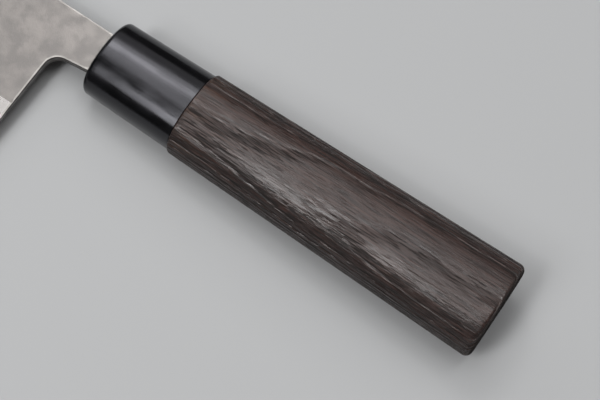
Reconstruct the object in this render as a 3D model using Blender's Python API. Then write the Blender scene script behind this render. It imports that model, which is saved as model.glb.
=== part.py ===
"""A nakiri vegetable knife: a laminated blade whose hidden tang is bedded in an oval wooden handle.

The knife is modelled along its own axis and then laid on its right side, as it rests on a table.
Knife axes: x runs from the ferrule's mouth to the butt, so the blade is at -x, y points to the spine
and z points out of the left face. Everything is in metres.
"""
import math

import bmesh
import bpy
from mathutils import Matrix, Vector
from mathutils.geometry import intersect_point_tri

# Handle: the oval runs straight from the ferrule's mouth to the butt
HANDLE_LENGTH = 0.1200
MOUTH_WIDTH = 0.0217
MOUTH_THICKNESS = 0.0168
MOUTH_SQUARENESS = 2.24
BUTT_WIDTH = 0.0264
BUTT_THICKNESS = 0.0203
BUTT_SQUARENESS = 2.63
BUTT_SIDE_ROUNDING = 0.0020
BUTT_FACE_ROUNDING = 0.0012
FERRULE_LENGTH = 0.0277
FERRULE_ROUNDING = 0.0012
JOINT_CHAMFER = 0.0002
WOOD_STEP = 0.0006

# Tenon of the grip inside the ferrule
TENON_LENGTH = 0.0120
TENON_WIDTH = 0.0158
TENON_THICKNESS = 0.0110
TENON_CHAMFER = 0.0005
TENON_END_ROOM = 0.0004

# Blade outline
BLADE_LENGTH = 0.1650
BLADE_HEIGHT = 0.0500
SPINE_ABOVE_AXIS = 0.00568
TIP_CORNER_RADIUS = 0.0110
FRONT_SLANT = math.radians(3)
TOE_RADIUS = 0.0015
BELLY_LENGTH = 0.0450
BELLY_RISE = 0.0016
HEEL_CORNER_RADIUS = 0.0004
HEEL_RAKE = math.radians(-0.2)
CHOIL_RADIUS = 0.0042
NECK_LENGTH = 0.0120
NECK_HEIGHT = 0.0115
NECK_FLARE = math.radians(6.7)

# Blade section: flat flanks down to the shinogi line, then a wide bevel and a narrow cutting edge
SPINE_THICKNESS = 0.0030
TIP_THICKNESS = 0.0024
SHINOGI_THICKNESS = 0.0025
BEVEL_HEIGHT = 0.0200
BEVEL_FOOT_THICKNESS = 0.00030
EDGE_THICKNESS = 0.00006
EDGE_ANGLE = math.radians(15)
CORE_THICKNESS = 0.0008
SPINE_EASING = 0.0003

# Tang inside the handle
TANG_LENGTH = 0.0860
TANG_END_HEIGHT = 0.0060
TANG_END_THICKNESS = 0.0020
TANG_END_RADIUS = 0.0012
BEDDING_THICKNESS = 0.0003
BEDDING_END = 0.0020
MOUTH_RECESS = 0.0003

# Clearances between the layers of the blade and between fitted pieces
WELD_GAP = 0.00002
FIT_GAP = 0.0001

# Weights in kilograms per cubic metre, which settle how the knife rests
STEEL_DENSITY = 7850
FERRULE_DENSITY = 1250
WOOD_DENSITY = 700
RESIN_DENSITY = 1200

# A face counts as level or upright by how much of its direction is along z
LEVEL = 0.9
UPRIGHT = 0.2

# Facets
SMOOTH_ANGLE = math.radians(30)
SECTION_SIDES = 64
BODY_RINGS = 8
ROUNDING_RINGS = 4
ARC_STEPS = 8
BELLY_STEPS = 8
EASING_SEGMENTS = 2

# Places that follow from the sizes above
HEEL_X = -NECK_LENGTH
TOE_X = HEEL_X - BLADE_LENGTH
EDGE_Y = SPINE_ABOVE_AXIS - BLADE_HEIGHT
SHINOGI_Y = EDGE_Y + BEVEL_HEIGHT
BORE_MARGIN = FIT_GAP + BEDDING_THICKNESS + FIT_GAP


def clear_scene():
    """Remove every object of the file that is open."""
    for item in list(bpy.data.objects):
        bpy.data.objects.remove(item)


def material(name, colour, roughness, metallic):
    """A Principled material of one colour."""
    made = bpy.data.materials.new(name)
    made.use_nodes = True
    shader = made.node_tree.nodes["Principled BSDF"]
    shader.inputs["Base Color"].default_value = (*colour, 1.0)
    shader.inputs["Roughness"].default_value = roughness
    shader.inputs["Metallic"].default_value = metallic
    made.diffuse_color = (*colour, 1.0)
    return made


def add_object(name, bm, parent, finish=None):
    """Turn a bmesh into a named object under its parent."""
    bmesh.ops.recalc_face_normals(bm, faces=bm.faces[:])
    mesh = bpy.data.meshes.new(name)
    bm.to_mesh(mesh)
    bm.free()
    if finish:
        mesh.materials.append(finish)
    mesh.shade_smooth()
    mesh.set_sharp_from_angle(angle=SMOOTH_ANGLE)
    made = bpy.data.objects.new(name, mesh)
    bpy.context.collection.objects.link(made)
    made.parent = parent
    return made


def cut_away(target, cutter):
    """Take the shape of a cutter out of an object."""
    cutter.hide_render = True
    cutter.display_type = "WIRE"
    cut = target.modifiers.new(cutter.name, "BOOLEAN")
    cut.operation = "DIFFERENCE"
    cut.solver = "EXACT"
    cut.object = cutter


# Blade


def rounded_corner(before, corner, after, radius):
    """Points of the arc that rounds a corner of the outline, from one side to the other."""
    side_a = (before - corner).normalized()
    side_b = (after - corner).normalized()
    half = side_a.angle(side_b) / 2
    centre = corner + (side_a + side_b).normalized() * radius / math.sin(half)
    start = corner + side_a * radius / math.tan(half) - centre
    turn = math.copysign(math.pi - 2 * half, start.cross(side_b))
    points = []
    for i in range(ARC_STEPS + 1):
        angle = turn * i / ARC_STEPS
        across = Vector((-start.y, start.x))
        points.append(centre + start * math.cos(angle) + across * math.sin(angle))
    return points


def belly_points():
    """The cutting edge from the toe back to where it runs straight."""
    points = []
    for i in range(1, BELLY_STEPS + 1):
        share = i / BELLY_STEPS
        points.append(Vector((TOE_X + BELLY_LENGTH * share, EDGE_Y + BELLY_RISE * (1 - share) ** 2)))
    return points


def neck_low_y(x):
    """The neck's lower side, which drops towards the blade."""
    return SPINE_ABOVE_AXIS - NECK_HEIGHT + x * math.tan(NECK_FLARE)


def outline_corners():
    """The blank's corners in order from the spine at the ferrule, each with its radius."""
    heel_top = Vector((HEEL_X, neck_low_y(HEEL_X)))
    heel_foot = Vector((HEEL_X + (heel_top.y - EDGE_Y) * math.tan(HEEL_RAKE), EDGE_Y))
    front_top_x = TOE_X + (BLADE_HEIGHT - BELLY_RISE) * math.tan(FRONT_SLANT)
    corners = [
        (Vector((0, SPINE_ABOVE_AXIS)), 0),
        (Vector((front_top_x, SPINE_ABOVE_AXIS)), TIP_CORNER_RADIUS),
        (Vector((TOE_X, EDGE_Y + BELLY_RISE)), TOE_RADIUS),
    ]
    corners += [(point, 0) for point in belly_points()]
    corners += [
        (heel_foot, HEEL_CORNER_RADIUS),
        (heel_top, CHOIL_RADIUS),
        (Vector((0, neck_low_y(0))), 0),
        (Vector((TANG_LENGTH, -TANG_END_HEIGHT / 2)), TANG_END_RADIUS),
        (Vector((TANG_LENGTH, TANG_END_HEIGHT / 2)), TANG_END_RADIUS),
    ]
    return corners


def blank_outline():
    """The outline of the blade and tang, seen from the left."""
    corners = outline_corners()
    points = []
    for i, (corner, radius) in enumerate(corners):
        if radius:
            before = corners[i - 1][0]
            after = corners[(i + 1) % len(corners)][0]
            points += rounded_corner(before, corner, after, radius)
        else:
            points.append(corner)
    return points


def flank_slopes():
    """How fast half the thickness falls from the ferrule to the tip, and from the spine downwards."""
    along = (SPINE_THICKNESS - TIP_THICKNESS) / 2 / -TOE_X
    down = (SPINE_THICKNESS - SHINOGI_THICKNESS) / 2 / (BLADE_HEIGHT - BEVEL_HEIGHT)
    return along, down


def flank_half_thickness(x, y):
    along, down = flank_slopes()
    return SPINE_THICKNESS / 2 + along * x + down * (y - SPINE_ABOVE_AXIS)


def bevel_slope():
    rise = flank_half_thickness(HEEL_X, SHINOGI_Y) - BEVEL_FOOT_THICKNESS / 2
    return rise / BEVEL_HEIGHT


def tang_slope():
    return (SPINE_THICKNESS - TANG_END_THICKNESS) / 2 / TANG_LENGTH


def grinding_planes():
    """Every plane that the left side is ground to, as a point and an outward direction."""
    along, down = flank_slopes()
    spine_at_mouth = Vector((0, SPINE_ABOVE_AXIS, SPINE_THICKNESS / 2))
    planes = [
        (spine_at_mouth, Vector((-along, -down, 1))),
        (spine_at_mouth, Vector((tang_slope(), 0, 1))),
        (Vector((0, EDGE_Y, BEVEL_FOOT_THICKNESS / 2)), Vector((0, -bevel_slope(), 1))),
    ]
    edge = [Vector((TOE_X, EDGE_Y + BELLY_RISE))] + belly_points() + [Vector((HEEL_X, EDGE_Y))]
    for start, end in zip(edge, edge[1:]):
        run = (end - start).normalized()
        steepness = math.tan(EDGE_ANGLE)
        planes.append((
            Vector((start.x, start.y, EDGE_THICKNESS / 2)),
            Vector((run.y * steepness, -run.x * steepness, 1)),
        ))
    return planes


def blank(low, high):
    """The outline as a flat plate between two levels of z."""
    bm = bmesh.new()
    rim = [bm.verts.new((point.x, point.y, low)) for point in blank_outline()]
    bm.faces.new(rim)
    grown = bmesh.ops.extrude_face_region(bm, geom=bm.faces[:])
    raised = [item for item in grown["geom"] if isinstance(item, bmesh.types.BMVert)]
    bmesh.ops.translate(bm, verts=raised, vec=(0, 0, high - low))
    bmesh.ops.recalc_face_normals(bm, faces=bm.faces[:])
    return bm


def grind(bm, point, outward):
    """Cut a plate off along a plane and close the cut."""
    everything = bm.verts[:] + bm.edges[:] + bm.faces[:]
    cut = bmesh.ops.bisect_plane(
        bm, geom=everything, dist=1e-8, plane_co=point, plane_no=outward.normalized(), clear_outer=True)
    rim = [item for item in cut["geom_cut"] if isinstance(item, bmesh.types.BMEdge)]
    if rim:
        bmesh.ops.edgeloop_fill(bm, edges=rim)


def mirrored(point):
    return Vector((point.x, point.y, -point.z))


def ease_outer_edges(bm):
    """Round the edges of spine, neck, choil and heel between the ferrule and the shinogi line."""
    inner_level = CORE_THICKNESS / 2 + 2 * WELD_GAP
    chosen = []
    for edge in bm.edges:
        levels = sorted(abs(face.normal.z) for face in edge.link_faces)
        ends = [vert.co for vert in edge.verts]
        on_corner = levels[0] < UPRIGHT and levels[-1] > LEVEL
        outside = all(abs(end.z) > inner_level and end.x < FIT_GAP for end in ends)
        above_shinogi = all(end.y > SHINOGI_Y - SPINE_EASING for end in ends)
        if on_corner and outside and above_shinogi:
            chosen.append(edge)
    bmesh.ops.bevel(
        bm, geom=chosen, offset=SPINE_EASING, offset_type="OFFSET", segments=EASING_SEGMENTS,
        profile=0.5, affect="EDGES", clamp_overlap=True)


def make_core(parent, finish):
    """The hard middle layer, bare along the cutting edge."""
    bm = blank(-CORE_THICKNESS / 2, CORE_THICKNESS / 2)
    for point, outward in grinding_planes():
        grind(bm, point, outward)
        grind(bm, mirrored(point), mirrored(outward))
    return add_object("blade_core", bm, parent, finish)


def make_cladding(name, side, parent, finish):
    """A soft outer layer: side is 1 for the left and -1 for the right."""
    inner = CORE_THICKNESS / 2 + WELD_GAP
    bm = blank(inner, SPINE_THICKNESS)
    for point, outward in grinding_planes():
        grind(bm, point, outward)
    bmesh.ops.recalc_face_normals(bm, faces=bm.faces[:])
    ease_outer_edges(bm)
    if side < 0:
        bmesh.ops.scale(bm, vec=(1, 1, -1), verts=bm.verts[:])
    return add_object(name, bm, parent, finish)


# Handle


def oval(x, half_width, half_thickness, squareness):
    """A ring of points on a superellipse across the handle at x."""
    ring = []
    for i in range(SECTION_SIDES):
        angle = 2 * math.pi * i / SECTION_SIDES
        across = math.cos(angle)
        up = math.sin(angle)
        y = math.copysign(abs(across) ** (2 / squareness), across) * half_width
        z = math.copysign(abs(up) ** (2 / squareness), up) * half_thickness
        ring.append(Vector((x, y, z)))
    return ring


def wood_size(x):
    """Half the width and thickness of the wood at x, and its squareness."""
    share = x / HANDLE_LENGTH
    mouth_half_width = MOUTH_WIDTH / 2 + WOOD_STEP
    mouth_half_thickness = MOUTH_THICKNESS / 2 + WOOD_STEP
    half_width = mouth_half_width + (BUTT_WIDTH / 2 - mouth_half_width) * share
    half_thickness = mouth_half_thickness + (BUTT_THICKNESS / 2 - mouth_half_thickness) * share
    squareness = MOUTH_SQUARENESS + (BUTT_SQUARENESS - MOUTH_SQUARENESS) * share
    return half_width, half_thickness, squareness


def handle_ring(x, inset):
    """The handle's section at x, made smaller all round by an inset."""
    half_width, half_thickness, squareness = wood_size(x)
    return oval(x, half_width - inset, half_thickness - inset, squareness)


def tenon_ring(x, margin):
    return oval(x, TENON_WIDTH / 2 + margin, TENON_THICKNESS / 2 + margin, 2)


def butt_ring(back_share, inset_share):
    """A ring of the rounded butt, whose radius grows from the broad faces to the narrow sides."""
    half_width, half_thickness, squareness = wood_size(HANDLE_LENGTH)
    side_inset = BUTT_SIDE_ROUNDING * inset_share
    face_inset = BUTT_FACE_ROUNDING * inset_share
    ring = oval(HANDLE_LENGTH, half_width - side_inset, half_thickness - face_inset, squareness)
    for point in ring:
        aside = (point.y / half_width) ** 2
        radius = BUTT_FACE_ROUNDING + (BUTT_SIDE_ROUNDING - BUTT_FACE_ROUNDING) * aside
        point.x -= radius * back_share
    return ring


def rounding():
    """Steps of a rounded end, from the side to the end, as shares of its radius back and inwards."""
    steps = []
    for i in range(ROUNDING_RINGS + 1):
        angle = math.pi / 2 * i / ROUNDING_RINGS
        steps.append((1 - math.sin(angle), 1 - math.cos(angle)))
    return steps


def loft(rings):
    """A closed solid through a row of rings, with a flat cap at each end."""
    bm = bmesh.new()
    rows = []
    for ring in rings:
        rows.append([bm.verts.new(point) for point in ring])
    for row, following in zip(rows, rows[1:]):
        for i in range(len(row)):
            j = (i + 1) % len(row)
            bm.faces.new((row[i], row[j], following[j], following[i]))
    bm.faces.new(rows[0])
    bm.faces.new(rows[-1])
    return bm


def tang_box(x, margin):
    """The tang's four corners at x, with a margin all round."""
    share = x / TANG_LENGTH
    high = SPINE_ABOVE_AXIS + (TANG_END_HEIGHT / 2 - SPINE_ABOVE_AXIS) * share + margin
    low = neck_low_y(0) + (-TANG_END_HEIGHT / 2 - neck_low_y(0)) * share - margin
    half = SPINE_THICKNESS / 2 - tang_slope() * x + margin
    corners = ((high, half), (low, half), (low, -half), (high, -half))
    return [Vector((x, y, z)) for y, z in corners]


def make_bore_cutter(name, start, end, parent):
    """The tapering slot that takes the tang and its bedding."""
    bm = loft([tang_box(start, BORE_MARGIN), tang_box(end, BORE_MARGIN)])
    return add_object(name, bm, parent)


def make_ferrule(parent, finish):
    """The black collar: a rounded mouth with the tang's slot, and the tenon's socket at its back."""
    rings = []
    for back_share, inset_share in reversed(rounding()):
        rings.append(handle_ring(FERRULE_ROUNDING * back_share, WOOD_STEP + FERRULE_ROUNDING * inset_share))
    rings.append(handle_ring(FERRULE_LENGTH - JOINT_CHAMFER, WOOD_STEP))
    rings.append(handle_ring(FERRULE_LENGTH, WOOD_STEP + JOINT_CHAMFER))
    socket_bottom = FERRULE_LENGTH - TENON_LENGTH - TENON_END_ROOM
    rings.append(tenon_ring(FERRULE_LENGTH, FIT_GAP))
    rings.append(tenon_ring(socket_bottom, FIT_GAP))
    ferrule = add_object("ferrule", loft(rings), parent, finish)
    cutter = make_bore_cutter("ferrule_slot_cutter", -FERRULE_ROUNDING, FERRULE_LENGTH, parent)
    cut_away(ferrule, cutter)
    return ferrule


def make_grip(parent, finish):
    """The wooden grip: a tenon, a shoulder against the ferrule, the long oval and a rounded butt."""
    tenon_front = FERRULE_LENGTH - TENON_LENGTH
    shoulder = FERRULE_LENGTH + FIT_GAP
    rings = [
        tenon_ring(tenon_front, -TENON_CHAMFER),
        tenon_ring(tenon_front + TENON_CHAMFER, 0),
        tenon_ring(shoulder, 0),
        handle_ring(shoulder, JOINT_CHAMFER),
    ]
    body_start = shoulder + JOINT_CHAMFER
    body_end = HANDLE_LENGTH - 2 * BUTT_SIDE_ROUNDING
    for i in range(BODY_RINGS + 1):
        rings.append(handle_ring(body_start + (body_end - body_start) * i / BODY_RINGS, 0))
    for back_share, inset_share in rounding():
        rings.append(butt_ring(back_share, inset_share))
    grip = add_object("grip", loft(rings), parent, finish)
    cutter = make_bore_cutter("grip_bore_cutter", 0, TANG_LENGTH + BEDDING_END + FIT_GAP, parent)
    cut_away(grip, cutter)
    return grip


def make_bedding(parent, finish):
    """The resin that holds the tang: a thin tapering sleeve, closed behind the tang's end."""
    outer = FIT_GAP + BEDDING_THICKNESS
    tang_room = TANG_LENGTH + FIT_GAP
    rings = [
        tang_box(tang_room, FIT_GAP),
        tang_box(MOUTH_RECESS, FIT_GAP),
        tang_box(MOUTH_RECESS, outer),
        tang_box(TANG_LENGTH + BEDDING_END, outer),
    ]
    return add_object("tang_bedding", loft(rings), parent, finish)


# Rest


def evaluated_mesh(piece):
    """A piece's mesh with its modifiers."""
    graph = bpy.context.evaluated_depsgraph_get()
    return piece.evaluated_get(graph).to_mesh()


def centre_of_mass(pieces):
    """Where the knife balances, from (piece, density) pairs."""
    mass = 0
    moment = Vector((0, 0, 0))
    for piece, density in pieces:
        mesh = evaluated_mesh(piece)
        mesh.calc_loop_triangles()
        for triangle in mesh.loop_triangles:
            a, b, c = [mesh.vertices[i].co for i in triangle.vertices]
            share = density * a.dot(b.cross(c)) / 6
            mass += share
            moment += (a + b + c) / 4 * share
    return moment / mass


def resting_direction(pieces):
    """The table's downward direction when the knife lies on its right side, in knife axes."""
    balance = centre_of_mass(pieces)
    hull = bmesh.new()
    for piece, _ in pieces:
        for vert in piece.data.vertices:
            hull.verts.new(vert.co)
    bmesh.ops.convex_hull(hull, input=hull.verts[:])
    bmesh.ops.triangulate(hull, faces=hull.faces[:])
    down = Vector((0, 0, -1))
    for face in hull.faces:
        corners = [vert.co for vert in face.verts]
        faces_down = face.normal.z < -LEVEL
        if faces_down and intersect_point_tri(balance, *corners):
            down = face.normal.copy()
    hull.free()
    return down


def rest_rotation(pieces):
    """Turn the knife so that the side it rests on faces down and its axis stays along x."""
    up = -resting_direction(pieces)
    along = (Vector((1, 0, 0)) - up * up.x).normalized()
    return Matrix((along, up.cross(along), up)).to_4x4()


def lowest_and_highest(pieces, rotation):
    """The corners of the box round the pieces once they are turned."""
    places = [rotation @ vert.co for piece, _ in pieces for vert in piece.data.vertices]
    low = Vector([min(place[i] for place in places) for i in range(3)])
    high = Vector([max(place[i] for place in places) for i in range(3)])
    return low, high


def main():
    clear_scene()
    core_steel = material("core_steel", (0.72, 0.72, 0.70), 0.22, 1.0)
    clad_steel = material("clad_steel", (0.52, 0.51, 0.48), 0.38, 1.0)
    black = material("black_ferrule", (0.012, 0.012, 0.014), 0.15, 0.0)
    wood = material("burnt_wood", (0.075, 0.055, 0.047), 0.42, 0.0)
    resin = material("bedding_resin", (0.030, 0.027, 0.025), 0.45, 0.0)

    knife = bpy.data.objects.new("knife_at_rest", None)
    bpy.context.collection.objects.link(knife)
    pieces = [
        (make_core(knife, core_steel), STEEL_DENSITY),
        (make_cladding("blade_cladding_left", 1, knife, clad_steel), STEEL_DENSITY),
        (make_cladding("blade_cladding_right", -1, knife, clad_steel), STEEL_DENSITY),
        (make_ferrule(knife, black), FERRULE_DENSITY),
        (make_grip(knife, wood), WOOD_DENSITY),
        (make_bedding(knife, resin), RESIN_DENSITY),
    ]
    rotation = rest_rotation(pieces)
    low, high = lowest_and_highest(pieces, rotation)
    middle = (low + high) / 2
    knife.matrix_world = Matrix.Translation((-middle.x, -middle.y, -low.z)) @ rotation


main()
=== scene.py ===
"""Looks of a nakiri knife: finished surfaces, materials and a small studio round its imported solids.

Knife axes: x runs from the ferrule's mouth to the butt, so the blade is at -x, y points to the spine and
z points out of the left face. Every size is in metres along these axes, and a finished mesh is then laid
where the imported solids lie.
"""
import math
from functools import partial

import bmesh
import bpy
import numpy as np
from mathutils import Matrix, Vector


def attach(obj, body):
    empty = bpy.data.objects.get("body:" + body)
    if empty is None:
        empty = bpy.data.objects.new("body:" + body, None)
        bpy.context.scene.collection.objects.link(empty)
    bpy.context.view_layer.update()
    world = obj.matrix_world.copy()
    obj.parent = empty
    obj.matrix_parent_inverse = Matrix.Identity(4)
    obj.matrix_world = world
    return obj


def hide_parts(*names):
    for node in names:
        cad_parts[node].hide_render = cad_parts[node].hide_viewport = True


bl_info = {
    "name": "Nakiri knife",
    "version": (1, 0, 0),
    "blender": (4, 5, 0),
    "location": "3D View > Sidebar > Knife",
    "description": "Surfaces of a laminated vegetable knife with an oval burnt-wood handle",
    "category": "Add Mesh",
}

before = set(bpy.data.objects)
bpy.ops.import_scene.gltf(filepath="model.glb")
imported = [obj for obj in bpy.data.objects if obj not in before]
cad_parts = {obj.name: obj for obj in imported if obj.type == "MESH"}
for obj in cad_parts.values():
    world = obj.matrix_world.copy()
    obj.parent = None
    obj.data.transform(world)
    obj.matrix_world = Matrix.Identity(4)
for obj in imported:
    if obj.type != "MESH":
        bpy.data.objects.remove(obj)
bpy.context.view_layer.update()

# Handle, as the solids have it
HANDLE_LENGTH = 0.1200
MOUTH_WIDTH = 0.0217
MOUTH_THICKNESS = 0.0168
MOUTH_SQUARENESS = 2.24
BUTT_WIDTH = 0.0264
BUTT_THICKNESS = 0.0203
BUTT_SQUARENESS = 2.63
BUTT_SIDE_ROUNDING = 0.0020
BUTT_FACE_ROUNDING = 0.0012
FERRULE_LENGTH = 0.0277
FERRULE_ROUNDING = 0.0012
JOINT_CHAMFER = 0.0002
WOOD_STEP = 0.0006
BUTT_ROOM = 1.2
TENON_LENGTH = 0.0120
TENON_WIDTH = 0.0158
TENON_THICKNESS = 0.0110
TENON_CHAMFER = 0.0005
TENON_SQUARENESS = 2.0
TENON_END_ROOM = 0.0004
SLOT_SQUARENESS = 16.0

# Blade, as the solids have it
BLADE_LENGTH = 0.1650
BLADE_HEIGHT = 0.0500
SPINE_ABOVE_AXIS = 0.00568
TIP_CORNER_RADIUS = 0.0110
FRONT_SLANT = math.radians(3)
TOE_RADIUS = 0.0015
BELLY_LENGTH = 0.0450
BELLY_RISE = 0.0016
HEEL_CORNER_RADIUS = 0.0004
HEEL_RAKE = math.radians(-0.2)
CHOIL_RADIUS = 0.0042
NECK_LENGTH = 0.0120
NECK_HEIGHT = 0.0115
NECK_FLARE = math.radians(6.7)
SPINE_THICKNESS = 0.0030
TIP_THICKNESS = 0.0024
SHINOGI_THICKNESS = 0.0025
BEVEL_HEIGHT = 0.0200
BEVEL_FOOT_THICKNESS = 0.00030
EDGE_THICKNESS = 0.00006
EDGE_ANGLE = math.radians(15)
CORE_THICKNESS = 0.0008
TANG_LENGTH = 0.0860
TANG_END_HEIGHT = 0.0060
TANG_END_THICKNESS = 0.0020
TANG_END_RADIUS = 0.0012
BEDDING_THICKNESS = 0.0003
BEDDING_END = 0.0020
FIT_GAP = 0.0001

# How far the visible skin lies inside the solids, so that its finer facets never stand proud of them
HAIR = 0.000008

# Places that follow from the sizes above
HEEL_X = -NECK_LENGTH
TOE_X = HEEL_X - BLADE_LENGTH
EDGE_Y = SPINE_ABOVE_AXIS - BLADE_HEIGHT
BORE_MARGIN = FIT_GAP + BEDDING_THICKNESS + FIT_GAP
SOCKET_BOTTOM = FERRULE_LENGTH - TENON_LENGTH - TENON_END_ROOM

# Growth rings of the grip: nearly flat sheets that curve up to the sides and slope along the grain, and
# that rise in one step and sink in one dip, which gives the nested arches on the broad face
GRAIN_ROLL = -0.0106
GRAIN_ASIDE = 0.00334
GRAIN_CURVE = 10.87
GRAIN_LEAN = -292.0
GRAIN_SLOPE = -0.0081
GRAIN_TWIST = -0.130
GRAIN_STEP = 0.000584
GRAIN_STEP_X = 0.0608
GRAIN_STEP_REACH = 0.0122
GRAIN_DIP = -0.000262
GRAIN_DIP_X = 0.0769
GRAIN_DIP_REACH = 0.0086
FIRST_RING = 0.00987
# Small waves of the rings: lengths along and across, share and start, and how many rings high they are
GRAIN_WAVES = ((0.0029, 0.00041, 1.0, 0.0), (0.0017, -0.00023, 0.7, 1.3))
GRAIN_WAVE_RINGS = 0.028

# Brushing: how far up the early wood rises and the parts of a year for that, for the rest and for the drop,
# then the ways and ring widths over which it sets in, and where the deeper wear before the butt does
FIRST_RISE = 0.8
EARLY_PART = 0.5
LATE_PART = 0.35
DROP_PART = 0.125
BRUSHING_START = 0.0012
THINNEST_RING = 0.0006
THIN_RING_REACH = 0.0012
END_WEAR_FROM = 0.0035
END_WEAR_REACH = 0.0030

# Camera, fitted to the photograph's edges: place and directions in knife axes, focal length in millimetres
CAMERA_PLACE = (0.12751, -0.09504, 0.35951)
CAMERA_RIGHT = (0.8232, 0.5677, -0.0024)
CAMERA_BACK = (0.1705, -0.2431, 0.9549)
CAMERA_LENS = 89.66
CAMERA_CLIP = 0.01

# Lamps are flat soft panels, the small ones for the gleams on collar and wood, aimed at one place on the
# handle: roll round it from the spine's side, lean along it, distance, width across, length along, and
# brightness beside a white of 1
LAMP_AIM = (HANDLE_LENGTH / 3, 0, 0)
LAMPS = {
    "wide_panel": (63.0, -5.0, 1.3, 1.56, 4.5, 0.50),
    "window": (71.3, -24.0, 1.2, 0.66, 0.25, 2.2),
    "window_core": (69.5, -24.0, 1.2, 0.20, 0.25, 4.0),
    "window_near": (64.0, -13.5, 1.2, 0.37, 0.19, 2.4),
    "overhead": (104.5, -13.5, 1.2, 0.78, 0.19, 4.9),
    "overhead_end": (90.0, -5.0, 1.2, 0.86, 0.17, 1.8),
    "haze_light": (116.0, -10.5, 1.2, 0.30, 0.16, 13.5),
    "strip_light": (128.0, -13.0, 1.2, 0.42, 0.38, 5.6),
    "butt_light": (80.0, 7.5, 1.2, 0.46, 0.26, 4.0),
}

# Mesh density: faces round the handle and along each stretch, and rows of faces from curve to curve
RING_SIDES = 384
COLLAR_SIDES = 192
COLLAR_RINGS = 24
MOUTH_RINGS = 6
BORE_RINGS = 5
SHOULDER_RINGS = 2
CAP_RINGS = 35
GRIP_STEP = 0.0005
ARC_STEPS = 10
EASING_STEPS = 6
TIP_STEPS = 26
CHOIL_STEPS = 22
NECK_STEPS = 18
HEEL_STEPS = 18
BODY_STEPS = 150
TANG_STEPS = 20
TANG_ARC_STEPS = 6
CORNER_STEPS = 6
FLANK_ROWS = 9
BEVEL_ROWS = 7
CORE_FLANK_ROWS = 4
CORE_BEVEL_ROWS = (3, 4, 2)
FLOOR_LINES = 9
SMOOTH_ANGLE = math.radians(32)
MERGE_DISTANCE = 1e-7

# Where the finer faces end ahead of choil and heel and start before the front, as a share of the crease,
# and how far behind the toe the belly's direction is taken
CHOIL_AHEAD = 0.008
HEEL_AHEAD = 0.016
FRONT_SHARE = 0.07
TOE_LOOK = 0.001
# Width of the strip beside a border, plain and eased, and the most of the way across that it may take
SUPPORT = 0.00015
EASING_SUPPORT = 0.0013
MOST_SUPPORT = 0.3
# How far before the ferrule the easing widens, the most of a layer that it takes off, and how much of it
# bends over before it falls straight
WEDGE_REACH = 0.0030
MOST_EASING = 0.8
EASING_BEND = 0.3

# The forge weld: side of each layer and start of its waves; length and share of each wave and how often it
# counts that start; and the way from the ferrule over which they grow
WELD_PHASES = {"left": (1, 0.0), "right": (-1, 1.9)}
WELD_WAVES = ((0.0071, 1.0, 1), (0.0031, 0.7, 2), (0.0163, 0.5, 0))
WELD_WAVE_REACH = 0.02
WELD_PASSES = 4


def linear(hex_colour):
    """An sRGB hex colour as linear red, green, blue and 1: c/12.92 when dark, else ((c+0.055)/1.055)^2.4."""
    parts = [int(hex_colour[i:i + 2], 16) / 255 for i in (1, 3, 5)]
    return [c / 12.92 if c <= 0.04045 else ((c + 0.055) / 1.055) ** 2.4 for c in parts] + [1.0]


# Where the knife lies


def node_faces(name):
    """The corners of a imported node's triangles."""
    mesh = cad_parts[name].data
    places = np.empty(len(mesh.vertices) * 3)
    mesh.vertices.foreach_get("co", places)
    corners = np.empty(len(mesh.loops), int)
    mesh.loops.foreach_get("vertex_index", corners)
    return places.reshape(-1, 3)[corners].reshape(-1, 3, 3)


def unit(vectors):
    """The same directions at length 1."""
    return vectors / np.linalg.norm(vectors, axis=-1, keepdims=True)


def knife_place():
    """The matrix from knife axes to the frame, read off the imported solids.

    z is the direction of the core's largest upward face, x is square to it and level across, and y
    completes them. The origin follows from the ferrule's mouth and the core's spine and left side.
    """
    core = node_faces("blade_core")
    across = np.cross(core[:, 1] - core[:, 0], core[:, 2] - core[:, 0])
    size = np.linalg.norm(across, axis=1) * (across[:, 2] > 0)
    out = across[size.argmax()] / size.max()
    along = unit(np.array([out[2], 0, -out[0]]))
    up = np.cross(out, along)
    mouth = (node_faces("ferrule") @ along).min()
    spine = (core @ up).max() - SPINE_ABOVE_AXIS
    middle = (core @ out).max() - CORE_THICKNESS / 2
    turn = np.stack([along, up, out], axis=1)
    place = np.eye(4)
    place[:3, :3] = turn
    place[:3, 3] = turn @ np.array([mouth, spine, middle])
    return Matrix(place.tolist())


PLACE = knife_place()


def facing(back, right):
    """The turn that points z back along one direction and x as near as can be along another."""
    back = Vector(back).normalized()
    right = Vector(right)
    right = (right - back * right.dot(back)).normalized()
    return Matrix((right, back.cross(right), back)).transposed().to_4x4()


# Meshes


def placed(name, data):
    """A new object in the scene, for a mesh, a lamp or a camera."""
    item = bpy.data.objects.new(name, data)
    bpy.context.scene.collection.objects.link(item)
    return item


def new_mesh(name, points, faces, finishes):
    """A mesh from points and faces, with its materials."""
    mesh = bpy.data.meshes.new(name)
    mesh.from_pydata(points.tolist(), [], faces)
    for finish in finishes:
        mesh.materials.append(finish)
    return mesh


def new_piece(name, points, faces, finishes, face_finishes=None):
    """A piece from points in knife axes, which then rides on the knife's one body."""
    place = np.array(PLACE)
    mesh = new_mesh(name, points @ place[:3, :3].T + place[:3, 3], faces, finishes)
    if face_finishes is not None:
        mesh.polygons.foreach_set("material_index", face_finishes)
    piece = placed(name, mesh)
    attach(piece, "root")
    return piece


def shade_smooth(mesh):
    """Smooth shading that keeps a crease where faces meet at more than the smooth angle."""
    mesh.shade_smooth()
    mesh.set_sharp_from_angle(angle=SMOOTH_ANGLE)


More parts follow.
